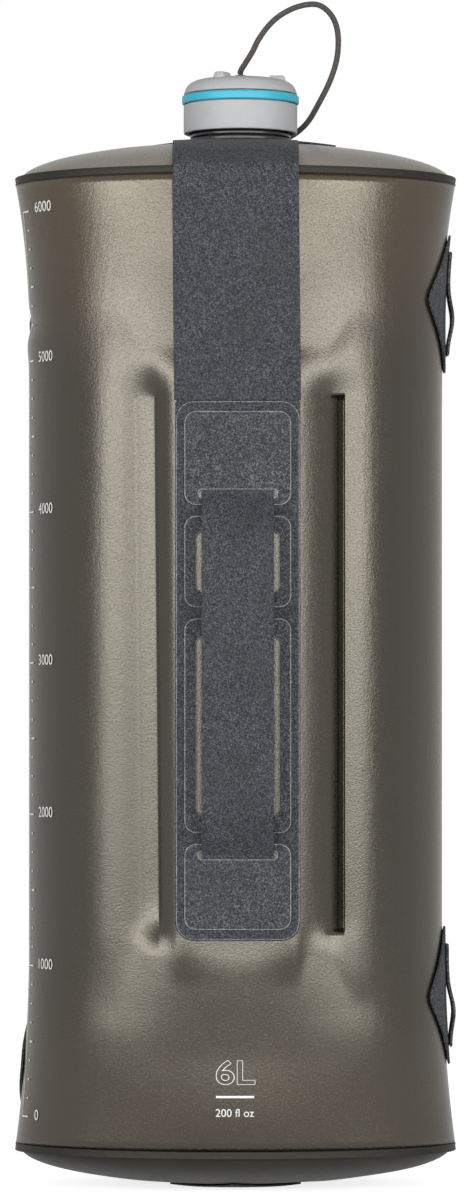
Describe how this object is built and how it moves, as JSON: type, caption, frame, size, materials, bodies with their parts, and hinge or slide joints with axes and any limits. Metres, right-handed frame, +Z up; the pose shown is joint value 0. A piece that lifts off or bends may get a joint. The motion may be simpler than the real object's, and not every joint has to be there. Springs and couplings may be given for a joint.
{
  "type": "collapsible water carrier",
  "caption": "Collapsible water carrier of smoky film with a tethered screw cap, a carry strap, a grab handle and lash loops.",
  "frame": {"origin": "on the floor under the middle of the bag's base, in the face that the filled bag stands on", "axes": "+Z up along the bag towards the cap, -Y out of the front where the handle is, +X to the right seen from the front"},
  "size_m": [0.1774, 0.1352, 0.476],
  "materials": {
    "film": "frosted smoky brown translucent film",
    "weld": "dark welded edge of the film",
    "fabric": "charcoal heather weave",
    "cap_grey": "satin moulded",
    "cap_cyan": "satin moulded",
    "neck_black": "satin moulded",
    "cord": "fine braid",
    "silicone": "soft matt"
  },
  "bodies": {
    "carrier": {"top_panel": "film", "bottom_panel": "film", "top_weld_rim": "weld", "bottom_weld_rim": "weld", "left_web": "film", "right_web": "film", "spout_neck": "neck_black", "neck_patch": "fabric", "tether_collar": "neck_black", "tether_cord": "cord", "right_upper_lash_patch": "fabric", "right_upper_lash_loop": "fabric", "right_lower_lash_patch": "fabric", "right_lower_lash_loop": "fabric", "left_upper_lash_patch": "fabric", "left_upper_lash_loop": "fabric", "left_lower_lash_patch": "fabric", "left_lower_lash_loop": "fabric", "bottom_lash_patch": "fabric", "bottom_lash_loop": "fabric"},
    "front_side": {"front_wall": "film", "carry_strap": "fabric", "handle_base": "fabric", "upper_anchor_pad": "fabric", "short_grip_frame": "fabric", "long_grip_frame": "fabric", "lower_anchor_pad": "fabric", "band_lower_end": "fabric", "band_upper_end": "fabric"},
    "back_side": {"back_wall": "film"},
    "grab_band": {"grab_band": "fabric"},
    "cap_swivel": {"tether_swivel": "neck_black"},
    "cap": {"cap_skirt": "cap_grey", "cap_ring": "cap_cyan", "cap_dome": "cap_grey", "cap_gasket": "silicone"}
  },
  "joints": [
    {"name": "collapse", "type": "slide", "parent": "carrier", "child": "front_side", "axis": [0, -1, 0], "range_m": [-0.0336, 0], "deforming": ["front_wall", "back_wall", "top_panel", "bottom_panel", "top_weld_rim", "bottom_weld_rim", "left_web", "right_web", "carry_strap"]},
    {"name": "collapse_back", "type": "slide", "parent": "carrier", "child": "back_side", "axis": [0, 1, 0], "range_m": [-0.0336, 0], "deforming": ["back_wall", "front_wall", "top_panel", "bottom_panel", "top_weld_rim", "bottom_weld_rim", "left_web", "right_web"]},
    {"name": "band_press", "type": "slide", "parent": "front_side", "child": "grab_band", "axis": [0, -1, 0], "range_m": [-0.0085, 0], "deforming": ["band_lower_end", "band_upper_end"]},
    {"name": "cap_lift", "type": "slide", "parent": "carrier", "child": "cap_swivel", "axis": [0, 0, 1], "range_m": [0, 0.03], "deforming": ["tether_cord"]},
    {"name": "cap_turn", "type": "hinge", "parent": "cap_swivel", "child": "cap", "pos_m": [0.002, 0, 0.43], "axis": [0, 0, 1], "range_deg": [0, 1350]}
  ],
  "couplings": [
    {"joint": "collapse_back", "follows": "collapse", "ratio": 1},
    {"joint": "cap_turn", "follows": "cap_lift", "rad_per_m": 785.4}
  ]
}
